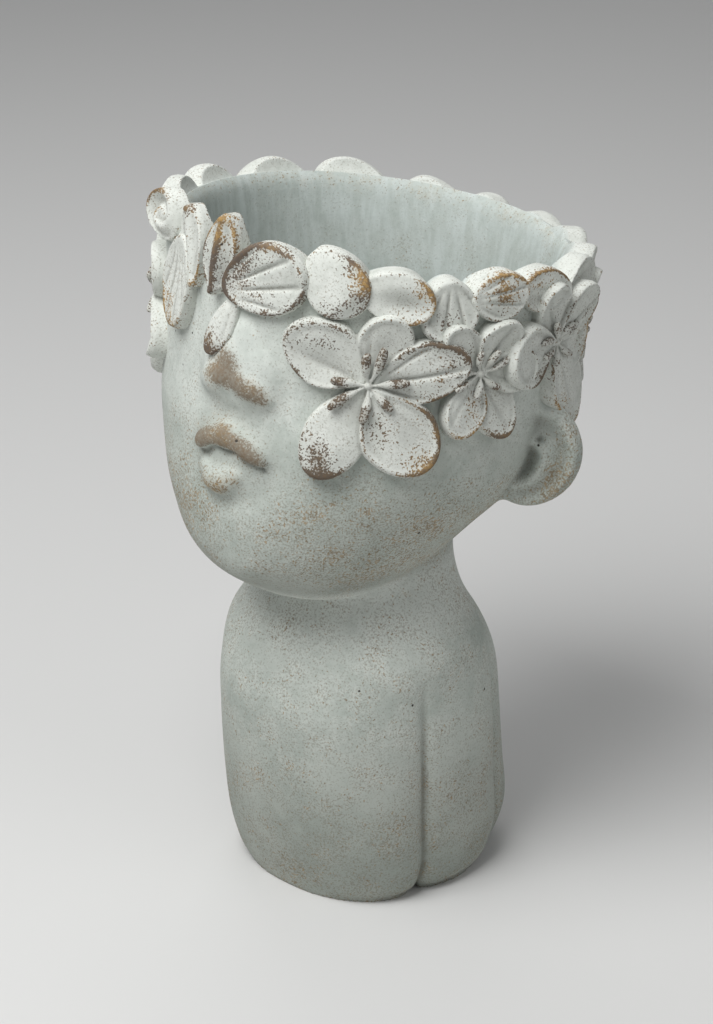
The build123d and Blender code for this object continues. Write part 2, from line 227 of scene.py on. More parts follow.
def join(name, parts):
    """Joins parts into one object."""
    select(*parts)
    if len(parts) > 1:
        bpy.ops.object.join()
    parts[0].name = parts[0].data.name = name
    return parts[0]


def skin(piece, voxel, ease=2):
    """Draws one even skin over a piece's overlapping parts."""
    piece.data.remesh_voxel_size = voxel
    select(piece)
    bpy.ops.object.voxel_remesh()
    move(piece, relaxed(piece, points(piece), ease))
    bpy.ops.object.shade_smooth()


def blown(name, rows, places_of, segments=192, rings=128):
    """A closed form through rows of sizes, from its lower pole to its upper one."""
    bpy.ops.mesh.primitive_uv_sphere_add(segments=segments, ring_count=rings, radius=1)
    form = bpy.context.object
    form.name = name
    x, y, z = np.clip(points(form), -1, 1).T
    rows = np.array(rows)
    chord = np.append(0, np.cumsum(np.hypot(*np.diff(rows[:, :2], axis=0).T)))
    slopes = np.gradient(rows, chord, axis=0)
    along = (1 - np.arccos(z) / math.pi) * chord[-1]
    k = np.clip(np.searchsorted(chord, along) - 1, 0, len(rows) - 2)
    span = (chord[k + 1] - chord[k])[:, None]
    s = (along - chord[k])[:, None] / span
    between = (
        (2 * s**3 - 3 * s**2 + 1) * rows[k] + (s**3 - 2 * s**2 + s) * span * slopes[k]
        + (3 * s**2 - 2 * s**3) * rows[k + 1] + (s**3 - s**2) * span * slopes[k + 1]
    )
    move(form, places_of(np.arctan2(x, -y), between.T))
    return form


def head_rows(growth, open_top=False):
    """Level, half width, half depth and shift of the head's rings, from under the chin to the rim."""
    jaw = (
        (-0.0142, 0, 0, -0.021),
        (-0.0138, 0.014, 0.013, -0.021),
        (-0.0122, 0.0265, 0.025, -0.021),
        (-0.007, 0.0345, 0.0375, -0.0196),
        (0.0045, 0.0459, 0.0531, -0.0174),
        (0.0215, 0.059, 0.0639, -0.0123),
        (0.045, 0.0735, 0.0725, -0.0036),
        (0.058, 0.0762, 0.0756, -0.0016),
    )
    crown = [
        (level, crown_radius(level), crown_radius(level), 0) for level in (0.07, 0.09, 0.11, 0.119)
    ]
    grown = [
        (level, max(a + growth, 0), max(b + growth, 0), shift) for level, a, b, shift in (*jaw, *crown)
    ]
    grown[0] = (grown[0][0] - growth, 0, 0, grown[0][3])
    if open_top:
        crest = [
            (rim_level - 0.003, 0.0003), (rim_level, 0.0016),
            (rim_level + 0.002, 0.004), (head_top, 0.009),
        ]
    else:
        crest = [(rim_level - 0.0035, -0.0004), (rim_level - 0.001, -0.0016), (rim_level, -0.004)]
    for level, step in crest:
        radius = crown_radius(level) + growth + step
        grown.append((level, radius, radius, 0))
    return [*grown, (grown[-1][0] + 0.0001, 0, 0, 0)]


rim_dip, rim_dip_azimuth, rim_dip_start = 0.0036, math.radians(58), 0.104


def head_places(azimuth, between):
    """Rings of the head, as places. The rim dips on the figure's left."""
    level, half_width, half_depth, shift = between
    level = level - rim_dip * np.cos(azimuth - rim_dip_azimuth) * fade(level, rim_dip_start, rim_level)
    return to_row(np.stack(
        [half_width * np.sin(azimuth), shift - half_depth * np.cos(azimuth), level], axis=-1
    ))


def bust_rows(wall):
    """Height, half width, half depth, shift and squareness of the torso, from its base to the nape."""
    rows = (
        (0, 0.043, 0.0476, -0.0024, 2.38),
        (0.004, 0.049, 0.0492, -0.002, 2.38),
        (0.015, 0.0521, 0.0535, -0.001, 2.38),
        (0.04, 0.0532, 0.056, -0.0032, 2.38),
        (0.07, 0.054, 0.0556, -0.0055, 2.3),
        (0.092, 0.0532, 0.0544, -0.0074, 2.15),
        (0.108, 0.0526, 0.0482, -0.0088, 2.05),
        (0.122, 0.0445, 0.0401, -0.0074, 2),
        (0.14, 0.0366, 0.0344, -0.0038, 2),
        (0.16, 0.0337, 0.0321, 0.001, 2),
    )
    grown = [(z, a - wall, b - wall, shift, square) for z, a, b, shift, square in rows]
    return [(-0.0001, 0, 0, -0.0024, 2.38), *grown, (0.166, 0, 0, 0.001, 2)]


def bust_places(azimuth, between):
    """Rings of the torso, a little squarish low down, as places."""
    z, half_width, half_depth, shift, square = between
    across, ahead = np.sin(azimuth), -np.cos(azimuth)
    x = np.sign(across) * np.abs(across) ** (2 / square) * half_width
    y = np.sign(ahead) * np.abs(ahead) ** (2 / square) * half_depth + shift
    return np.stack([x, y, np.maximum(z, 0)], axis=-1)


def clay(x, level, height, across, tall, out, turn=0):
    """A roll of clay on the face: its place, its half sizes, and its turn in the surface."""
    bpy.ops.mesh.primitive_uv_sphere_add(segments=48, ring_count=32, radius=1)
    roll = bpy.context.object
    u, v, w = (points(roll) * (across, tall, out)).T
    turn = math.radians(turn)
    x_there = x + u * math.cos(turn) - v * math.sin(turn)
    level_there = level + u * math.sin(turn) + v * math.cos(turn)
    move(roll, on_head(face_azimuth + x_there / crown_radius(level), level_there, height + w))
    return roll


# Nose tip, nose bridge, the swell round the nose, the swell round the mouth, the middle of the upper
# lip, the lower lip and the chin, and then the nostrils, nose wings, upper lip and lower lip by sides.
clay_rolls = [
    clay(0.003, 0.0795, -0.0016, 0.008, 0.0086, 0.0066),
    clay(0.0032, 0.09, -0.0028, 0.009, 0.0165, 0.0062),
    clay(0.001, 0.082, -0.0064, 0.0235, 0.02, 0.0114),
    clay(0, 0.0455, -0.0035, 0.02, 0.02, 0.0075),
    clay(-0.0005, 0.0565, 0.0024, 0.0062, 0.006, 0.0062),
    clay(-0.003, 0.0388, 0.0004, 0.0092, 0.0066, 0.0084),
    clay(0, 0.018, -0.0072, 0.026, 0.02, 0.0085),
]
for side in (1, -1):
    clay_rolls.append(clay(side * 0.0112, 0.0756, -0.0012, 0.0072, 0.0052, 0.006, turn=-side * 18))
    clay_rolls.append(clay(side * 0.0066, 0.0785, -0.0008, 0.011, 0.0076, 0.0074, turn=-side * 22))
    clay_rolls.append(clay(side * 0.0068, 0.0542, 0.0003, 0.0118, 0.006, 0.008, turn=-side * 27))
    clay_rolls.append(
        clay(side * 0.0042 - 0.0028, 0.0412, -0.0002, 0.008, 0.0056, 0.0074, turn=side * 16)
    )


def path_distance(places, path):
    """How far each of some flat places lies from a line through points."""
    nearest = np.full(len(places), 10.0)
    for start, end in zip(np.array(path[:-1]), np.array(path[1:])):
        along = np.clip(((places - start) @ (end - start)) / ((end - start) @ (end - start)), 0, 1)
        nearest = np.minimum(nearest, np.hypot(*(places - start - along[:, None] * (end - start)).T))
    return nearest


# The ears: leaning C-shaped shells with a rolled rim, a J-shaped fold and a small ear hole. They are
# of the same cement and grow out of the side of the head below the wreath.
ear_azimuth, ear_level, ear_lean = math.radians(104), 0.0535, math.radians(118)
ear_half_width, ear_half_height, ear_out = 0.02, 0.0235, -0.0015
# Lines on the ear, in half widths and half heights from its middle.
ear_fold = (
    (-0.05, 0.27), (0.15, 0.23), (0.3, 0.12), (0.34, -0.08), (0.24, -0.3), (0.05, -0.46),
    (-0.2, -0.56),
)
ear_root = ((0.02, 0.75), (-0.1, 0.45), (-0.3, 0.15), (-0.53, -0.31), (-0.8, -0.8))
ear_hole, hole_depth, hole_reach = (0.22, 0.33), 0.0022, 0.0016
rim_height, fold_height, root_height, bowl_depth = 0.0034, 0.0044, 0.0024, 0.0044
ear_front, ear_edge, ear_back, ear_back_rise = 0.0014, 0.0025, -0.0065, 0.005


def petal_grid(columns, lines):
    """A square grid drawn round to a disc, as an object and its places on the unit disc."""
    bpy.ops.mesh.primitive_grid_add(x_subdivisions=columns, y_subdivisions=lines, size=2)
    disc = bpy.context.object
    u, v, _ = points(disc).T
    return disc, u * np.sqrt(1 - v * v / 2), v * np.sqrt(1 - u * u / 2)


def close_back(piece, front, back):
    """Gives an open sheet a back and a rim, with its front and its back at these places."""
    finish_modifier(piece, "SOLIDIFY", thickness=0.001, offset=-1)
    move(piece, np.concatenate([front, back]))


def ear_places(side, x, y, depth):
    """Places on one ear, from its own width and height and its distance ahead of the middle."""
    wide = ear_half_width * (1 + 0.06 * np.sin(np.arctan2(y, x) * 2 + 0.8))
    tall = ear_half_height * (1 - 0.1 * fade(-y, 0.2, 1.0))
    lean = np.array((math.sin(ear_lean), -math.cos(ear_lean), 0))
    ahead = np.cross((0, 0, 1), lean) * -1
    root = np.array((math.sin(ear_azimuth), -math.cos(ear_azimuth), 0)) * crown_radius(ear_level)
    local = root + np.outer(ear_out + x * wide, lean) + np.outer(depth, ahead)
    return to_row((local + np.outer(ear_level + y * tall, (0, 0, 1))) * (side, 1, 1))


def ear(side):
    """One ear, as a closed form that is sunk into the head."""
    sheet, x, y = petal_grid(56, 56)
    round_out, around, flat = np.hypot(x, y), np.arctan2(y, x), np.stack([x, y], axis=1)
    rolled_rim = np.exp(-(((round_out - 0.84) / 0.13) ** 2)) * rim_height
    rolled_rim = rolled_rim * fade(np.cos(around), -0.85, 0.0)
    fold = np.exp(-((path_distance(flat, ear_fold) / 0.14) ** 2)) * fold_height
    front_fold = np.exp(-((path_distance(flat, ear_root) / 0.13) ** 2)) * root_height
    bowl = -bowl_depth * np.exp(-(((x + 0.1) / 0.26) ** 2 + ((y + 0.1) / 0.34) ** 2))
    front = ear_front + rolled_rim + fold + front_fold + bowl - ear_edge * fade(round_out, 0.92, 1.0)
    back = ear_back + ear_back_rise * round_out**3
    close_back(sheet, ear_places(side, x, y, front), ear_places(side, x, y, back))
    if side < 0:
        sheet.data.flip_normals()
    return sheet


casting = join("casting", [
    blown("head_form", head_rows(0), head_places),
    blown("bust_form", bust_rows(0), bust_places),
    *clay_rolls, ear(1), ear(-1),
])
skin(casting, skin_voxel)

# Inner corners are filled as wet cement fills them, most of all under the jaw, and least on the ears.
jaw_rounds, corner_rounds, corner_share, ear_relief = 90, 14, 0.8, 0.75
azimuth, level, reach = to_head(points(casting))
on_ear = 0
for side in (1, -1):
    middle = ear_places(side, np.zeros(1), np.zeros(1), np.array([0.002]))
    on_ear = on_ear + fade(-np.linalg.norm(points(casting) - middle, axis=1), -0.0205, -0.015)
under_jaw = fade(-level, -0.03, -0.014) * fade(np.abs(azimuth), 0.35, 0.7)
fill_hollows(casting, jaw_rounds, under_jaw)
for _ in range(2):
    fill_hollows(casting, corner_rounds, corner_share - ear_relief * on_ear)
move(casting, relaxed(casting, points(casting), 2))

# Then the line between the lips, the ear holes and the grooves beside the arms are carved, and the
# arms and low lumps are left proud.
lip_line = (
    (-0.015, 0.0465), (-0.0095, 0.0475), (-0.0045, 0.0508), (0, 0.05),
    (0.0045, 0.0508), (0.0095, 0.0475), (0.015, 0.0465),
)
lip_depth, lip_half_width, lip_reach = 0.0015, 0.0011, 0.6
groove_azimuths, groove_lean, groove_radius = (72, -72, 124, -124), 4, 0.055
groove_depth, groove_half_width = 0.0022, 0.0024
groove_side_depth, groove_side_width = 0.0016, 0.008
groove_top, groove_full = 0.112, 0.062
arm_azimuths, arm_swell, arm_spread = (96, -96), 0.0014, 0.3
lump_height, base_flat = 0.0006, 0.0016
places, out = points(casting), normals(casting)
x, y, z = places.T
azimuth, level, reach = to_head(places)
on_face = np.stack([(azimuth - face_azimuth) * crown_radius(level), level], axis=1)
mouth = np.exp(-((path_distance(on_face, lip_line) / lip_half_width) ** 2))
mouth = (np.abs(azimuth) < lip_reach) * mouth
torso_rows = bust_rows(0)
torso_shift = np.interp(z, [row[0] for row in torso_rows], [row[3] for row in torso_rows])
turn = np.arctan2(x, torso_shift - y)
dent, swell = 0, 0
for groove in groove_azimuths:
    apart = (turn - np.radians(groove - groove_lean * (1 - z / 0.1) * np.sign(groove))) * groove_radius
    dent = dent + groove_depth * np.exp(-((apart / groove_half_width) ** 2))
    dent = dent + groove_side_depth * np.exp(-((apart / groove_side_width) ** 2))
for arm in arm_azimuths:
    swell = swell + arm_swell * np.exp(-(((turn - math.radians(arm)) / arm_spread) ** 2))
lumps = lump_height * np.sin(x * 95 + 1) * np.sin(z * 83) * np.sin(y * 77 + 2)
low_down = (z < groove_top) * fade(z, groove_top, groove_full)
holes = 0
for side in (1, -1):
    centre = ear_places(side, np.array([ear_hole[0]]), np.array([ear_hole[1]]), np.array([0.004]))
    holes = holes + np.exp(-((places - centre) ** 2).sum(axis=1) / hole_reach**2)
carved = -lip_depth * mouth - hole_depth * holes + lumps + low_down * (swell - dent)
move(casting, places + out * carved[:, None])
places = points(casting)
on_base = (places[:, 2] < base_flat) & (out[:, 2] < -0.7)
places[:, 2] = np.where(on_base, 0, np.maximum(places[:, 2], 0))
move(casting, places)

# The casting in two: the torso ends in the neck, and the head pot sits on it along one flat joint.
# The pot is hollow down to its floor, the torso is hollow from below, and a drain bore joins them.
joint_place, joint_slope = Vector((0, 0, 0.1345)), 0.02
wall, pot_floor, hollow_roof = 0.009, 0.14, 0.112
drain_place, drain_radius, drain_length = (0, -0.014, 0.126), 0.006, 0.04


def keep_side(piece, place, direction):
    """Cuts a piece flat and keeps what lies in a direction from the cut, closed."""
    select(piece)
    bpy.ops.object.mode_set(mode="EDIT")
    bpy.ops.mesh.select_all(action="SELECT")
    bpy.ops.mesh.bisect(plane_co=place, plane_no=direction, use_fill=True, clear_inner=True)
    bpy.ops.object.mode_set(mode="OBJECT")


def cut_out(piece, tools):
    """Cuts closed forms out of a piece."""
    for tool in tools:
        finish_modifier(piece, "BOOLEAN", operation="DIFFERENCE", object=tool, solver="MANIFOLD")
    for tool in tools:
        bpy.data.objects.remove(tool)


def copy_of(piece, name):
    """A copy of a piece with a mesh of its own."""
    copy = piece.copy()
    copy.data = piece.data.copy()
    copy.name = copy.data.name = name
    bpy.context.collection.objects.link(copy)
    return copy


def bore():
    """The drain bore, as a form to cut out."""
    bpy.ops.mesh.primitive_cylinder_add(
        vertices=64, radius=drain_radius, depth=drain_length, location=drain_place
    )
    form = bpy.context.object
    bpy.ops.object.transform_apply()
    return form


bust = copy_of(casting, "bust_casting")
head = casting
head.name = head.data.name = "head_casting"
joint_up = Vector((0, -joint_slope, 1)).normalized()
keep_side(bust, joint_place, -joint_up)
keep_side(head, joint_place, joint_up)

cavity = blown("cavity", head_rows(-wall, True), head_places, rings=96)
keep_side(cavity, (0, 0, pot_floor), (0, 0, 1))
cut_out(head, [cavity, bore()])
below_base = 0.01
hollow_rows = [(z - below_base * (z < 0.001), *more) for z, *more in bust_rows(wall)]
hollow = blown("hollow", hollow_rows, bust_places, segments=128, rings=96)
keep_side(hollow, (0, 0, hollow_roof), (0, 0, -1))
cut_out(bust, [hollow, bore()])


def tint(red, green, blue):
    """A colour given in the usual 0 to 255 steps, as the shader wants it."""
    return tuple(
        step / 255 / 12.92 if step < 10 else ((step / 255 + 0.055) / 1.055) ** 2.4
        for step in (red, green, blue)
    ) + (1,)


def add_node(tree, kind, settings=(), sockets=()):
    """Adds a shader node with its settings, and with its sockets set or linked."""
    node = tree.nodes.new("ShaderNode" + kind)
    for setting, value in dict(settings).items():
        setattr(node, setting, value)
    for socket, value in dict(sockets).items():
        if isinstance(value, bpy.types.NodeSocket):
            tree.links.new(value, node.inputs[socket])
        else:
            node.inputs[socket].default_value = value
    return node


def noise(tree, place, scale, detail=2.0, rough=0.5):
    """A grey pattern of blots, scale of them to the metre."""
    sockets = {"Vector": place, "Scale": scale, "Detail": detail, "Roughness": rough}
    return add_node(tree, "TexNoise", {}, sockets).outputs["Fac"]


def sums(tree, operation, one, other):
    """One sum of two values."""
    return add_node(tree, "Math", {"operation": operation}, {0: one, 1: other}).outputs[0]


def plus(tree, one, other):
    """Two values added."""
    return sums(tree, "ADD", one, other)


def less(tree, one, other):
    """One value less another."""
    return sums(tree, "SUBTRACT", one, other)


def times(tree, one, other):
    """Two values multiplied."""
    return sums(tree, "MULTIPLY", one, other)


def stepped(tree, value, low, high):
    """0 below low and 1 above high."""
    sockets = {"Value": value, "From Min": low, "From Max": high}
    return add_node(tree, "MapRange", {"interpolation_type": "SMOOTHSTEP"}, sockets).outputs["Result"]


def mixed(tree, share, one, other):
    """One colour laid over another by a share."""
    return add_node(tree, "Mix", {"data_type": "RGBA"}, {0: share, 6: one, 7: other}).outputs[2]


def worn(tree, name):
    """A value that was painted on the piece."""
    return add_node(tree, "Attribute", {"attribute_name": name}).outputs["Fac"]


# The darkest inside grey is painted shade, laid on deeper down in the pot.
inner_grey, inner_streak, inner_painted_shade = tint(150, 162, 158), tint(198, 206, 203), tint(104, 117, 114)
# The dull grey below is painted shade for hollows, creases and the underside of the jaw.
painted_shade_grey, veil_brown, pore_dark = tint(104, 103, 95), tint(112, 103, 84), tint(58, 54, 48)
rust_dark, rust_pale = tint(120, 94, 56), tint(160, 134, 94)
wash_brown, wash_ochre = tint(140, 126, 106), tint(164, 136, 86)
speck_brown, ochre_dark, ochre_pale = tint(112, 92, 70), tint(118, 92, 58), tint(158, 126, 74)


def cement(name, pale, grey, white, brown, grain=0.00022, soak=0.0, peppered=0.88):
    """Matt cast cement under a pale wash, stained where it is rubbed, and spattered with rust."""
    material = bpy.data.materials.new(name)
    material.use_nodes = True
    tree = material.node_tree
    place = add_node(tree, "TexCoord").outputs["Object"]
    drawn_down = add_node(tree, "Mapping", {}, {"Vector": place, "Scale": (1, 1, 0.13)})
    cloud, drift = noise(tree, place, 24, 5, 0.62), noise(tree, place, 70, 4, 0.6)
    sand, fleck = noise(tree, place, 380, 4, 0.6), noise(tree, place, 820, 3, 0.6)
    speck = noise(tree, place, 1350, 2)
    streak = noise(tree, drawn_down.outputs["Vector"], 220, 4, 0.65)
    sand_drift, speck_drift = less(tree, sand, 0.5), less(tree, speck, 0.5)

    # Clouds of the pale wash, and chalk where little rubs it away.
    colour = mixed(tree, stepped(tree, cloud, 0.36, 0.66), pale, grey)
    chalky = plus(tree, times(tree, worn(tree, "chalk"), 0.3), times(tree, drift, 0.7))
    chalky = plus(tree, chalky, times(tree, sand, 0.4))
    colour = mixed(tree, stepped(tree, chalky, 0.5, 1.02), colour, white)

    # The pot's inside is greyer and brushed up and down, and darker with depth as painted shade.
    inside = worn(tree, "inside")
    brushed = times(tree, inside, stepped(tree, streak, 0.36, 0.7))
    colour = mixed(tree, times(tree, inside, 0.45), colour, inner_grey)
    colour = mixed(tree, times(tree, brushed, 0.75), colour, inner_streak)
    colour = mixed(tree, times(tree, worn(tree, "depth"), 0.62), colour, inner_painted_shade)
    # Painted shade: hollows, creases and the other shaded places turn a dull grey.
    painted_shade = times(tree, worn(tree, "hollow"), plus(tree, 0.25, times(tree, drift, 0.6)))
    colour = mixed(tree, painted_shade, colour, painted_shade_grey)

    # Fine brown spatter over all, and coarser grains of rust.
    patchy = times(tree, less(tree, drift, 0.5), 0.4)
    veil = plus(tree, plus(tree, speck, patchy), times(tree, worn(tree, "spatter"), 0.22))
    colour = mixed(tree, times(tree, stepped(tree, veil, 0.56, 0.8), 0.42), colour, veil_brown)
    spots = plus(tree, plus(tree, fleck, patchy), times(tree, worn(tree, "spatter"), 0.2))
    spots = plus(tree, spots, times(tree, speck_drift, 0.5))
    rust = mixed(tree, stepped(tree, sand, 0.4, 0.62), rust_dark, rust_pale)
    colour = mixed(tree, times(tree, stepped(tree, spots, 0.74, 0.81), 0.62), colour, rust)

    # Where the casting is rubbed, a brown or ochre wash and then dark specks in it.
    wear = worn(tree, "rub")
    yellow = stepped(tree, plus(tree, worn(tree, "ochre"), less(tree, drift, 0.5)), 0.2, 0.8)
    wash = plus(tree, wear, plus(tree, times(tree, drift, 0.5), times(tree, sand, 0.6)))
    wash = times(tree, stepped(tree, wash, 0.85 - soak, 1.6 - soak), 0.66)
    wash = times(tree, wash, plus(tree, 0.62, times(tree, stepped(tree, fleck, 0.38, 0.62), 0.58)))
    wash_colour = mixed(tree, yellow, mixed(tree, 0.45, brown, wash_brown), wash_ochre)
    colour = mixed(tree, wash, colour, wash_colour)
    specks = plus(tree, speck, times(tree, wear, 0.4))
    specks = plus(tree, specks, times(tree, sand_drift, 0.5))
    specks = times(tree, stepped(tree, specks, 0.72, 0.775), stepped(tree, wear, 0.02, 0.2))
    browns = mixed(tree, stepped(tree, fleck, 0.4, 0.62), brown, mixed(tree, 0.5, brown, speck_brown))
    ochres = mixed(tree, stepped(tree, fleck, 0.4, 0.6), ochre_dark, ochre_pale)
    colour = mixed(tree, times(tree, specks, peppered), colour, mixed(tree, yellow, browns, ochres))

    # A few open pores, not inside the pot.
    pores = add_node(tree, "TexVoronoi", {"feature": "F1"}, {"Vector": place, "Scale": 62})
    pores = plus(tree, pores.outputs["Distance"], times(tree, cloud, 0.1))
    pores = times(tree, stepped(tree, pores, 0.095, 0.07), less(tree, 1.0, inside))
    colour = mixed(tree, pores, colour, pore_dark)

    relief = plus(tree, times(tree, sand, 0.9), times(tree, speck, 0.3))
    relief = less(tree, relief, times(tree, pores, 1.2))
    relief = less(tree, relief, times(tree, specks, 0.2))
    bump = add_node(tree, "Bump", {}, {"Height": relief, "Distance": grain, "Strength": 0.8})
    roughness = less(tree, 0.92, times(tree, wash, 0.3))
    shader = tree.nodes["Principled BSDF"]
    tree.links.new(colour, shader.inputs["Base Color"])
    tree.links.new(bump.outputs["Normal"], shader.inputs["Normal"])
    tree.links.new(roughness, shader.inputs["Roughness"])
    shader.inputs["Specular IOR Level"].default_value = 0.3
    return material


def paint(piece, name, values):
    """Writes one value for each vertex on a piece, for its material to read."""
    layer = piece.data.attributes.new(name, "FLOAT", "POINT")
    layer.data.foreach_set("value", np.clip(values, 0, 2).astype(np.float32))


patch_spread, patch_height = 1.15, 0.006


def weather_and_shade(piece, material, rounds, sharp, patches=(), edges=0.26, spatter=0.25, chalk=1.0,
            ochre=0.45, painted_shade_extra=0.0):
    """Wears a piece at its edges and in patches of azimuth, level, reach, amount and yellowness.

    An edge counts in full where it stands sharp metres out of what lies rounds of mesh round it.
    A hollow gets painted shade in full where it lies sharp metres in, and the extra painted shade is
    added to it.
    """
    places, out = points(piece), bulge(piece, rounds)
    edge = np.clip(out / sharp, 0, 1)
    broad = np.clip(bulge(piece, rounds * 6) / (sharp * 2.6), 0, 1)
    rub, yellow, weight = edge * edges * 0.6 + broad * edges * 0.6, ochre + 0 * edge, 1 + 0 * edge
    for patch_azimuth, patch_level, size, amount, yellowness in patches:
        centre = on_head(math.radians(patch_azimuth), patch_level, patch_height)
        near = np.exp(-((places - centre) ** 2).sum(axis=1) / (patch_spread * size) ** 2)
        rub = rub + amount * near * (0.4 + 0.25 * edge + 0.5 * broad)
        yellow, weight = yellow + 3 * near * yellowness, weight + 3 * near
    azimuth, level, reach = to_head(places)
    axis_side = np.stack([np.sin(azimuth), -np.cos(azimuth), 0 * azimuth], axis=1) @ head_axes
    facing_in = normals(piece)[:, 2] - (normals(piece) * axis_side).sum(axis=1)
    inside = fade(crown_radius(level) - reach, 0.004, 0.007) * fade(facing_in, 0.0, 0.5)
    inside = inside * fade(places[:, 2], pot_floor - 0.004, pot_floor - 0.001)
    painted = {
        "rub": rub,
        "ochre": yellow / weight,
        # Painted shade: darker in hollows and creases, with the extra painted shade added.
        "hollow": np.clip(-out / sharp, 0, 1) + painted_shade_extra,
        "spatter": spatter - 0.3 * inside,
        "chalk": chalk + 0 * edge,
        "inside": inside,
        # Painted shade that deepens down inside the pot.
        "depth": inside * fade(rim_level - level, 0.012, 0.08),
    }
    for layer, values in painted.items():
        paint(piece, layer, values)
    piece.data.materials.clear()
    piece.data.materials.append(material)


body_cement = cement(
    "body_cement", tint(184, 190, 183), tint(162, 170, 163), tint(206, 211, 205), tint(108, 93, 74),
    soak=0.22, peppered=0.6,
)
cast_wear_and_shade = 16, 0.0009
face_patches = (
    (2.4, 0.0865, 0.005, 0.8, 0.2), (-0.6, 0.0825, 0.0055, 0.6, 0.3),
    (3.4, 0.082, 0.005, 1.5, 0.3), (6.9, 0.0777, 0.0055, 0.8, 0.2),
    (11.8, 0.0754, 0.0045, 0.7, 0.1), (15.1, 0.0741, 0.004, 0.55, 0.0),
    (-1.3, 0.057, 0.0075, 0.75, 0.4), (5, 0.0565, 0.006, 0.75, 0.35), (10, 0.053, 0.006, 0.8, 0.1),
    (14, 0.0495, 0.005, 0.6, 0.0), (-7, 0.055, 0.006, 0.8, 0.25), (2, 0.035, 0.0055, 0.6, 0.5),
    (-7, 0.0365, 0.0055, 0.65, 0.5),
    (8, 0.037, 0.005, 0.4, 0.4),
)
neck_chalk, neck_spatter = 1.3, 0.46
azimuth, level, reach = to_head(points(head))
ear_rim = fade(reach - crown_radius(level), 0.004, 0.012) * (level < 0.085) * (level > 0.02)
jaw_side = 0.45 + 0.55 * fade(np.abs(azimuth - 0.2), 0.05, 0.45)
jaw = fade(-level, -0.066, -0.024) * fade(level, -0.026, 0.01) * jaw_side
at_neck = fade(-points(head)[:, 2], -0.15, -0.136)
weather_and_shade(
    head, body_cement, *cast_wear_and_shade, face_patches, edges=0.16, ochre=0.6,
    chalk=(0.15 + 0.85 * fade(level, 0.04, 0.085)) * (1 - at_neck) + neck_chalk * at_neck,
    spatter=(0.16 + 0.8 * jaw + 0.6 * ear_rim) * (1 - at_neck) + neck_spatter * at_neck,
    # Painted shade under the jaw.
    painted_shade_extra=0.8 * fade(-level, -0.01, 0.008) * (1 - at_neck),
)
height = points(bust)[:, 2]
weather_and_shade(
    bust, body_cement, *cast_wear_and_shade, edges=0.24, ochre=0.6,
    chalk=0.45 * fade(height, 0.02, 0.09) + (neck_chalk - 0.45) * fade(height, 0.104, 0.128),
    spatter=neck_spatter + 0.14 * fade(-height, -0.07, -0.01),
    # Darker towards the base: partly painted shade of the light from above, partly grime.
    painted_shade_extra=0.5 * fade(-height, -0.095, -0.03),
)
for piece in (head, bust):
    select(piece)
    bpy.ops.object.shade_smooth_by_angle(angle=math.radians(40))
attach(head, "planter")
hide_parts("head_pot", "left_ear", "right_ear")
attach(bust, "planter")
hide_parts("bust")

# The leaves along the rim: thick cupped leaves and curled petals of the same cement, pressed on the
# crown side by side, so that their round tops make the scalloped edge of the pot.
leaf_voxel, leaf_wear_and_shade = 0.0006, (10, 0.0003)
leaf_back, leaf_sink, edge_drop = 0.0065, -0.003, 0.002
# Over the rim a leaf leans in and thins out. Its back runs through these levels and heights.
lean_start, lean_rate, thin_above, rim_back, thinnest = 0.005, 9, 0.011, 0.0052, 0.0022
back_levels = (-0.012, -0.005, -0.003, 0, 0.004)
back_depths = (-0.006, -0.008, -0.0083, -0.0075, -0.006)


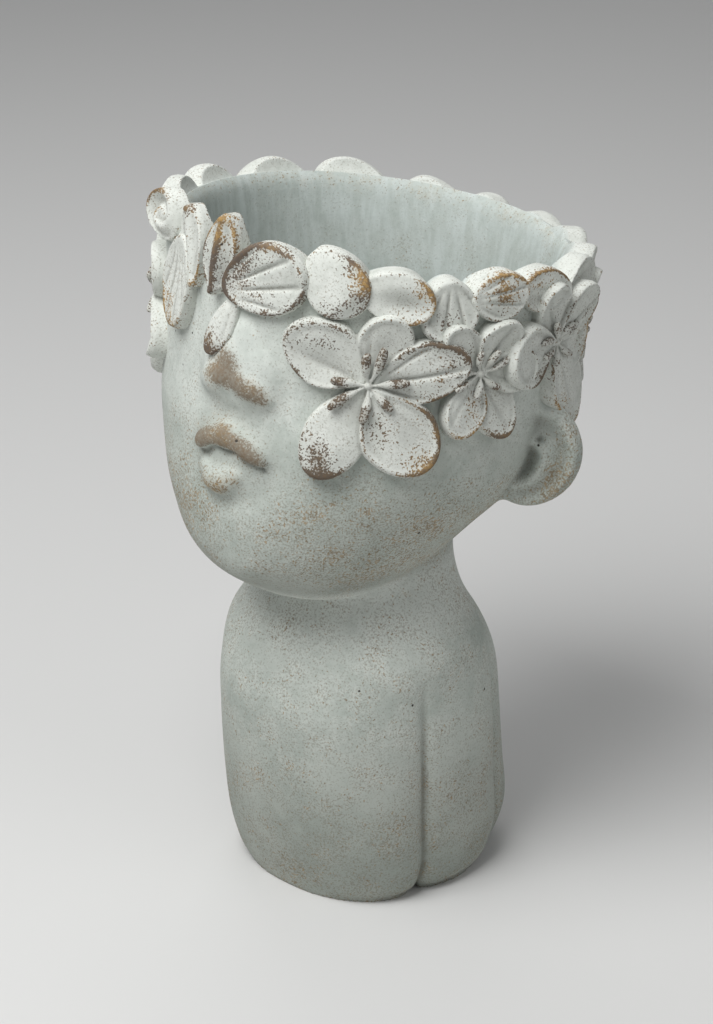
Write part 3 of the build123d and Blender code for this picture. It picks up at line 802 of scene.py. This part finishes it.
def sprig(seat, turn, size, start, foot=0.45, base=0.0025, lift=0.0025, tilt=0.0, belly=0.0,
          cup=0.0016, roll=0.0008, rib=0.0005, ribs=4, fold=0.0, swirl=0.0, curl=0.0, ripple=0.04,
          seed=0, over_rim=False):
    """A leaf or petal on the crown, as a closed form.

    Its seat is an azimuth and a level, its turn where it grows to, its size a length and a width,
    its start how far from the seat it begins and its foot how wide. It stands base out of the
    crown, lift more at the tip and tilt more at one side. Belly, cup, roll, rib, fold, swirl and
    curl are the heights of its swell, hollow, rolled edge, creases, middle fold, spiral and tip.
    """
    sheet, x, y = petal_grid(64, 52)
    out, around = np.hypot(x, y), np.arctan2(y, x)
    wave = 1 + ripple * out**2 * (np.sin(2 * around + seed) + 0.7 * np.sin(3 * around + 2.3 * seed + 1))
    along = np.clip((x * wave + 1) / 2, 0, 1.2)
    narrow = foot + (1 - foot) * np.sin(np.minimum(along / 0.6, 1) * math.pi / 2)
    length, width = size
    ahead, across = start + along * length, y * wave * narrow * width / 2
    turn = math.radians(turn)
    right = ahead * math.cos(turn) - across * math.sin(turn)
    up = ahead * math.sin(turn) + across * math.cos(turn)
    azimuth, level = seat[0] + right / crown_radius(seat[1]), seat[1] + up
    ray = np.arctan2(y, x + 1.3)
    crease = np.exp(-((np.sin(ribs * ray + seed) / 0.3) ** 2)) * fade(along, 0.08, 0.35) * (1 - out**3)
    bowl_x, bowl_y = 0.15 + 0.25 * math.sin(1.7 * seed), 0.3 * math.sin(2.9 * seed)
    bowl = np.exp(-(((x - bowl_x) / 0.55) ** 2 + ((y - bowl_y) / 0.45) ** 2))
    one_side = 0.35 + 0.65 * np.cos(around - 2.1 * seed) ** 2
    lump = np.sin(2.6 * x + seed) * np.cos(2.9 * y + 1.7 * seed) * (1 - out**2)
    plain = base + lift * along**1.3 + tilt * y
    height = (
        plain + belly * (1 - out**2) - cup * bowl - rib * crease + 0.0005 * lump
        + roll * one_side * np.exp(-(((out - 0.88) / 0.09) ** 2)) + fold * np.exp(-((y / 0.32) ** 2))
        + swirl * np.cos(around - out * 7.5) * fade(out, 0.08, 0.3) + curl * fade(x, 0.45, 1.0)
        - edge_drop * fade(out, 0.93, 1)
    )
    if over_rim:
        lean = lean_rate * np.maximum(0, level - rim_level + lean_start) ** 2
        height = height - lean
        wall_back = np.interp(level - rim_level, back_levels, back_depths)
        thin = fade(level, rim_level, rim_level + thin_above)
        back = wall_back * (1 - thin) + np.minimum(plain - lean - rim_back, height - thinnest) * thin
    else:
        back = np.maximum(leaf_sink, height - leaf_back)
    close_back(sheet, on_head(azimuth, level, height), on_head(azimuth, level, back))
    return sheet


def pressed(node, forms, voxel, material, wear, patches=(), **finish):
    """One piece of the wreath from its forms, with one skin and its wear."""
    piece = join(node + "_cast", forms)
    skin(piece, voxel)
    weather_and_shade(piece, material, *wear, patches, **finish)
    return piece


# Azimuth, level and turn in degrees, length, width, and what is its own about its form.
rim_leaves = {
    "front_rim_leaf": (12, 0.1195, 22, 0.036, 0.029, dict(
        foot=0.75, cup=0.001, roll=0.001, rib=0.0015, ribs=9, base=0.0042, lift=0.0018, tilt=0.001,
        seed=1.4,
    )),
    "left_brow_rim_leaf": (31, 0.1235, -42, 0.028, 0.025, dict(
        foot=0.8, cup=0, belly=0.0012, roll=0, rib=0.0002, lift=0.0045, curl=-0.0026, seed=2.1,
    )),
    "left_eye_rim_leaf": (46, 0.121, -8, 0.032, 0.02, dict(
        foot=0.6, cup=0.0026, belly=0.001, lift=0.0045, roll=0.0004, rib=0, seed=4.1,
    )),
    "left_temple_rim_leaf": (61, 0.1165, -84, 0.025, 0.022, dict(
        foot=0.85, cup=0, rib=0.0013, ribs=9, seed=4.0,
    )),
    "left_ear_rim_leaf": (74, 0.1225, 6, 0.024, 0.019, dict(
        foot=0.8, cup=0, belly=0.001, rib=0.001, ribs=9, base=0.004, seed=5.0,
    )),
    "left_side_rim_leaf": (90, 0.1225, -12, 0.027, 0.018, dict(
        foot=0.7, cup=0.002, lift=0.0035, fold=0.0008, seed=6.1,
    )),
    "left_nape_rim_leaf": (109, 0.121, 14, 0.027, 0.02, dict(seed=7.3, ribs=5, rib=0.0012)),
    "left_back_rim_leaf": (128, 0.12, -22, 0.028, 0.022, dict(seed=8.2, foot=0.7, belly=0.001)),
    "back_left_rim_leaf": (147, 0.119, 18, 0.028, 0.022, dict(seed=9.4, foot=0.6, rib=0.0012)),
    "back_rim_leaf": (166, 0.119, -14, 0.028, 0.022, dict(seed=10.1, foot=0.7, ribs=7, rib=0.001)),
    "back_right_rim_leaf": (-174, 0.119, 24, 0.027, 0.022, dict(seed=11.5, foot=0.6, belly=0.001)),
    "right_back_rim_leaf": (-155, 0.121, -18, 0.028, 0.024, dict(
        seed=12.2, foot=0.7, rib=0.0014, ribs=6,
    )),
    "right_nape_rim_leaf": (-132, 0.123, 10, 0.034, 0.027, dict(seed=13.0, foot=0.8, cup=0.0022)),
    "right_ear_rim_leaf": (-106, 0.123, -12, 0.033, 0.027, dict(
        seed=14.6, foot=0.8, rib=0.0014, ribs=7,
    )),
    "right_side_rim_leaf": (-82, 0.123, 16, 0.031, 0.025, dict(seed=15.3, foot=0.7, belly=0.0012)),
    "right_temple_rim_leaf": (-60, 0.124, -20, 0.029, 0.023, dict(
        seed=16.7, foot=0.7, rib=0.0012, ribs=5,
    )),
    "rim_rosette": (-33, 0.129, 90, 0.02, 0.0205, dict(
        foot=1.0, swirl=0.0015, cup=0.0, roll=0.0006, rib=0.0, base=0.0045, lift=0, tilt=0.0035,
        seed=0.7,
    )),
    "folded_petal": (-2, 0.1245, 82, 0.032, 0.015, dict(
        foot=0.6, fold=0.003, cup=0.0, base=0.003, tilt=0.0015, rib=0.0, seed=2.9,
    )),
    "right_brow_rim_leaf": (-14, 0.124, 98, 0.031, 0.017, dict(
        foot=0.6, fold=0.0022, cup=0.0008, tilt=-0.0012, seed=1.7,
    )),
}
leaf_cement = cement(
    "leaf_cement", tint(196, 199, 192), tint(178, 182, 174), tint(214, 217, 211), tint(78, 64, 54),
)
# Brown and ochre patches: azimuth, level, reach, amount and yellowness.
leaf_patches = {
    "front_rim_leaf": (
        (7.6, 0.133, 0.0065, 0.9, 0.1), (4.4, 0.124, 0.007, 1.1, 0.0), (1, 0.114, 0.007, 1.1, 0.0),
        (14, 0.134, 0.006, 0.5, 0.5), (20, 0.133, 0.005, 0.4, 0.4), (13.7, 0.109, 0.007, 0.6, 0.1),
        (23.5, 0.1155, 0.006, 0.6, 0.2),
    ),
    "left_brow_rim_leaf": (
        (29.5, 0.1365, 0.004, 0.7, 0.1), (34.5, 0.1325, 0.0045, 0.9, 0.3),
        (37.6, 0.126, 0.0048, 1.0, 1.0), (37, 0.118, 0.0045, 0.8, 0.2), (31, 0.114, 0.005, 0.6, 0.0),
    ),
    "left_eye_rim_leaf": ((53.9, 0.1223, 0.006, 0.9, 0.8), (49, 0.1147, 0.005, 0.8, 0.5)),
    "left_temple_rim_leaf": ((62.3, 0.1106, 0.005, 0.7, 0.3), (59.5, 0.1125, 0.005, 0.6, 0.1)),
    "left_ear_rim_leaf": (
        (75.6, 0.128, 0.007, 0.7, 0.8), (74.8, 0.118, 0.005, 0.6, 0.4), (72, 0.126, 0.006, 0.5, 0.9),
    ),
    "left_side_rim_leaf": (
        (86.5, 0.132, 0.006, 0.7, 0.7), (96.2, 0.132, 0.006, 0.9, 0.5), (86.9, 0.124, 0.006, 0.6, 0.9),
    ),
    "folded_petal": (
        (-0.5, 0.134, 0.007, 0.9, 1.0), (-1.8, 0.1245, 0.007, 0.8, 0.0), (-2.9, 0.115, 0.006, 0.8, 0.2),
    ),
    "right_brow_rim_leaf": ((-8.2, 0.112, 0.006, 0.8, 0.9), (-15, 0.137, 0.006, 0.6, 0.5)),
    "rim_rosette": ((-38, 0.137, 0.008, 0.9, 0.5),),
}
for name, (azimuth, level, turn, length, width, looks) in rim_leaves.items():
    seat = (math.radians(azimuth), level)
    form = sprig(seat, turn, (length, width), -length / 2, over_rim=True, **looks)
    leaf = pressed(name, [form], leaf_voxel, leaf_cement, leaf_wear_and_shade, leaf_patches.get(name, ()))
    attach(leaf, "planter")
    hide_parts(name)

# The leaves over the brow: a long streaked leaf and a bud that hang from the rim over the forehead,
# thinner than the rim's own leaves and pressed flat on the head.
brow_leaves = {
    "streaked_brow_leaf": (-21, 0.108, -98, 0.038, 0.022, dict(
        foot=0.7, rib=0.0016, ribs=12, cup=0.0004, base=0.0035, lift=0.0015, seed=2.2,
    )),
    "forehead_bud": (-0.2, 0.099, -112, 0.028, 0.0115, dict(
        foot=0.55, belly=0.0024, cup=0.0, roll=0, base=0.0012, lift=0.0046, rib=0.0006, ribs=5,
        seed=1.4,
    )),
}
brow_patches = {
    "streaked_brow_leaf": (
        (-27.8, 0.098, 0.007, 0.9, 1.0), (-22, 0.0935, 0.006, 0.7, 0.8), (-11, 0.1, 0.005, 0.5, 0.7),
    ),
    "forehead_bud": ((-3.3, 0.0905, 0.0055, 1.0, 0.1),),
}
for name, (azimuth, level, turn, length, width, looks) in brow_leaves.items():
    seat = (math.radians(azimuth), level)
    form = sprig(seat, turn, (length, width), -length / 2, **looks)
    leaf = pressed(name, [form], leaf_voxel, leaf_cement, leaf_wear_and_shade, brow_patches[name])
    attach(leaf, "planter")
    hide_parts(name)

# The flowers of the wreath: five cupped petals each, overlapping round a small middle, of the same
# cement and pressed on the crown below the leaves.
petal_length = 0.042
# Azimuth, level and share of the full size of each flower, and turn, length and width of its petals.
flowers = {
    "left_eye_flower": (42, 0.087, 1.0, (
        (150, 0.82, 0.66), (75, 0.68, 0.5), (18, 0.88, 0.6), (-55, 0.97, 0.68), (-115, 1.0, 0.58),
    )),
    "left_temple_flower": (71.5, 0.093, 0.74, (
        (-104, 0.84, 0.6), (-56, 1.0, 0.62), (2, 0.84, 0.6), (62, 0.74, 0.56), (128, 0.74, 0.5),
    )),
    "left_ear_flower": (99, 0.101, 0.76, (
        (192, 0.9, 0.84), (-54, 1.38, 0.76), (-10, 0.9, 0.7), (42, 0.84, 0.66), (112, 0.8, 0.6),
    )),
    "left_nape_flower": (127, 0.096, 0.79, (
        (100, 0.8, 0.6), (30, 0.84, 0.64), (-42, 0.9, 0.64), (-108, 0.58, 0.5), (176, 0.6, 0.52),
    )),
    "back_flower": (160, 0.09, 0.9, (
        (86, 0.76, 0.6), (14, 0.86, 0.62), (-58, 1.0, 0.64), (-128, 0.95, 0.62), (158, 0.84, 0.6),
    )),
    "right_nape_flower": (-162, 0.097, 0.76, (
        (118, 0.8, 0.62), (46, 0.8, 0.6), (-28, 0.9, 0.66), (-98, 1.0, 0.62), (-170, 0.88, 0.62),
    )),
    "right_ear_flower": (-130, 0.094, 0.83, (
        (96, 0.78, 0.6), (24, 0.9, 0.62), (-50, 1.0, 0.64), (-120, 0.94, 0.62), (166, 0.86, 0.62),
    )),
    "right_temple_flower": (-96, 0.098, 0.79, (
        (128, 0.78, 0.6), (60, 0.8, 0.6), (-14, 0.9, 0.62), (-86, 1.0, 0.64), (-158, 0.9, 0.64),
    )),
    "right_eye_flower": (-58, 0.092, 0.9, (
        (108, 0.72, 0.58), (36, 0.82, 0.6), (-36, 0.9, 0.62), (-106, 1.0, 0.64), (-176, 0.9, 0.62),
    )),
}
petal_cement = cement(
    "petal_cement", tint(194, 197, 190), tint(176, 180, 172), tint(213, 216, 210), tint(80, 66, 52),
)
petal_patches = {
    "left_eye_flower": (
        (23.4, 0.1015, 0.006, 0.6, 0.0), (31.2, 0.103, 0.006, 0.7, 0.0),
        (23.8, 0.0886, 0.004, 0.6, 0.2), (29.6, 0.062, 0.0045, 1.0, 0.0),
        (31.2, 0.056, 0.005, 1.2, 0.0), (33.2, 0.0495, 0.005, 1.2, 0.05),
        (39.5, 0.0492, 0.005, 0.5, 0.4), (44.6, 0.0739, 0.005, 1.0, 0.3), (47, 0.066, 0.005, 0.9, 0.4),
        (56.5, 0.0588, 0.006, 1.0, 0.6), (60.8, 0.0589, 0.005, 0.9, 0.5),
        (60.6, 0.0769, 0.005, 0.9, 0.2), (63.4, 0.0696, 0.005, 0.8, 0.3),
        (57.9, 0.1047, 0.005, 0.8, 0.0), (63.5, 0.0989, 0.006, 1.0, 0.1),
        (60.8, 0.0874, 0.005, 0.7, 0.4), (54.7, 0.0834, 0.006, 0.6, 0.5),
        (48.6, 0.1021, 0.005, 0.7, 0.0),
    ),
    "left_temple_flower": (
        (67, 0.1047, 0.005, 0.5, 0.0), (71.3, 0.0809, 0.005, 0.9, 0.4), (69.9, 0.0717, 0.006, 0.6, 0.9),
        (81.9, 0.069, 0.006, 1.0, 0.3), (81.8, 0.1008, 0.005, 0.9, 0.0),
    ),
    "left_ear_flower": (
        (93.1, 0.0875, 0.005, 1.2, 0.1), (96.5, 0.0885, 0.005, 1.2, 0.1),
        (88.5, 0.0905, 0.004, 0.6, 0.3), (106, 0.076, 0.005, 0.8, 1.0), (109, 0.067, 0.006, 0.9, 1.0),
        (115, 0.062, 0.006, 1.0, 0.7), (121, 0.068, 0.006, 0.9, 0.6), (116, 0.098, 0.007, 1.0, 0.9),
        (113, 0.112, 0.006, 0.7, 0.3), (98.2, 0.1149, 0.005, 0.7, 0.0),
    ),
}
# How far each petal lies over the lowest one, and what is its own about the petals seen from close by.
petal_over = (0.001, 0.0, 0.0014, 0.0022, 0.0006)
petal_looks = {
    "left_eye_flower": (
        dict(cup=0.0024, rib=0.0006, ribs=3, seed=2.6), dict(cup=0.0004),
        dict(rib=0.0014, ribs=6, cup=0.0004, seed=0.4), dict(cup=0.0016, roll=0.0012, rib=0.0003),
        dict(cup=0, belly=0.0014, roll=0, rib=0),
    ),
    "left_temple_flower": (
        dict(cup=0.0003, belly=0.0006), dict(cup=0.0012, seed=3.0), dict(cup=0.0026, roll=0.0014),
        dict(rib=0.001), dict(cup=0),
    ),
    "left_ear_flower": (
        dict(cup=0.0012, belly=0.0008, lift=0.0058, base=0.004, roll=0.0012),
        dict(belly=0.0018, cup=0, roll=0.0008, foot=0.1, lift=0.008), dict(cup=0.0014),
        dict(rib=0.0014, ribs=6, ripple=0.08, lift=0.0055), dict(fold=0.001),
    ),
}
varied = (
    dict(cup=0.0022), dict(belly=0.001, cup=0), dict(rib=0.0013, ribs=6),
    dict(cup=0.0012, roll=0.0013), dict(belly=0.0006, rib=0.0009),
)
for number, (name, (azimuth, level, share, petals)) in enumerate(flowers.items()):
    seat, radius = (math.radians(azimuth), level), share * petal_length
    forms = []
    for place, ((turn, long, wide), over) in enumerate(zip(petals, petal_over)):
        looks = dict(foot=0.3, base=0.0022 + over, lift=0.0038, cup=0.0014, ripple=0.03)
        looks.update(seed=number + 1.7 * place)
        looks.update(petal_looks.get(name, varied)[place])
        forms.append(sprig(seat, turn, (long * radius, wide * radius), 0, **looks))
    patches = petal_patches.get(name, ())
    flower = pressed(name, forms, leaf_voxel, petal_cement, leaf_wear_and_shade, patches)
    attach(flower, "planter")
    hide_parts(name)

# The stamens: a small bead and seven fat club-shaped threads round it in the middle of each flower,
# darker at their ends, where the brown wash stays on the knobs.
stamens_each, stamen_turn, stamen_share = 7, 12, 0.25
bead_radius, bead_height = 0.0015, 0.0042
thread_start, thread_height, thread_rise, thread_bend = 0.0006, 0.0043, 0.16, 0.0007
thin_end, club_end = 0.0006, 0.0012
stamen_voxel, stamen_wear_and_shade = 0.0004, (6, 0.0002)
bare_tip, near_tip, far_tip = 0.12, 0.58, 0.38
stamen_cement = cement(
    "stamen_cement", tint(184, 187, 179), tint(160, 158, 148), tint(204, 206, 200), tint(72, 58, 46),
    0.00015,
)
for number, (name, (azimuth, level, share, petals)) in enumerate(flowers.items()):
    seat, length = (math.radians(azimuth), level), stamen_share * share * petal_length
    bpy.ops.mesh.primitive_uv_sphere_add(segments=24, ring_count=16, radius=bead_radius)
    bead = bpy.context.object
    right, up, out = points(bead).T
    move(bead, on_head(seat[0] + right / crown_radius(level), level + up, bead_height + out))
    forms = [bead]
    for spoke in range(stamens_each):
        bpy.ops.mesh.primitive_uv_sphere_add(segments=24, ring_count=32, radius=1)
        thread = bpy.context.object
        x, y, z = points(thread).T
        wander = 9 * math.sin(2.7 * spoke + number)
        turn = math.radians(stamen_turn + spoke * 360 / stamens_each + wander)
        reach = thread_start + (x + 1) / 2 * length * (1.3 + 0.2 * math.sin(1.9 * spoke + number))
        round_off = np.sqrt(np.maximum(1 - np.abs(x) ** 6, 0)) / np.sqrt(np.maximum(1 - x**2, 0.0001))
        thick = (thin_end + club_end * fade(x, -0.7, 0.1)) * (0.35 + 0.65 * share) * round_off
        bend = thread_bend * math.sin(spoke * 2.1 + number) * (x + 1) ** 2
        right = reach * math.cos(turn) - (y * thick + bend) * math.sin(turn)
        up = reach * math.sin(turn) + (y * thick + bend) * math.cos(turn)
        height = thread_height + thread_rise * reach + z * thick
        move(thread, on_head(seat[0] + right / crown_radius(level), level + up, height))
        forms.append(thread)
    node, finish = name + "_stamens", dict(edges=0.25, ochre=0.15)
    stamens = pressed(node, forms, stamen_voxel, stamen_cement, stamen_wear_and_shade, **finish)
    turns, levels, _ = to_head(points(stamens))
    spread = np.hypot((turns - seat[0]) * crown_radius(level), levels - level)
    knob = near_tip if number == 0 else far_tip
    tips = bare_tip + knob * fade(spread, 0.45 * length, 0.9 * length)
    stamens.data.attributes["rub"].data.foreach_set("value", tips.astype(np.float32))
    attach(stamens, "planter")
    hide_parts(name + "_stamens")

# The drain plug: a black rubber stopper with a finger grip, pushed into the drain hole from inside
# the pot. Its shape is the CAD node's own; only its finish is made here.
black, dust_grey = tint(34, 34, 35), tint(118, 116, 110)
rubber = bpy.data.materials.new("plug_rubber")
rubber.use_nodes = True
tree = rubber.node_tree
place = add_node(tree, "TexCoord").outputs["Object"]
dust = stepped(tree, noise(tree, place, 260, 5, 0.65), 0.46, 0.7)
shade = mixed(tree, times(tree, dust, 0.35), black, dust_grey)
pits = add_node(tree, "Bump", {}, {"Height": noise(tree, place, 1300, 2), "Distance": 0.00012})
shader = tree.nodes["Principled BSDF"]
tree.links.new(shade, shader.inputs["Base Color"])
tree.links.new(pits.outputs["Normal"], shader.inputs["Normal"])
shader.inputs["Roughness"].default_value = 0.7
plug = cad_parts["drain_plug"]
plug.data.materials.clear()
plug.data.materials.append(rubber)
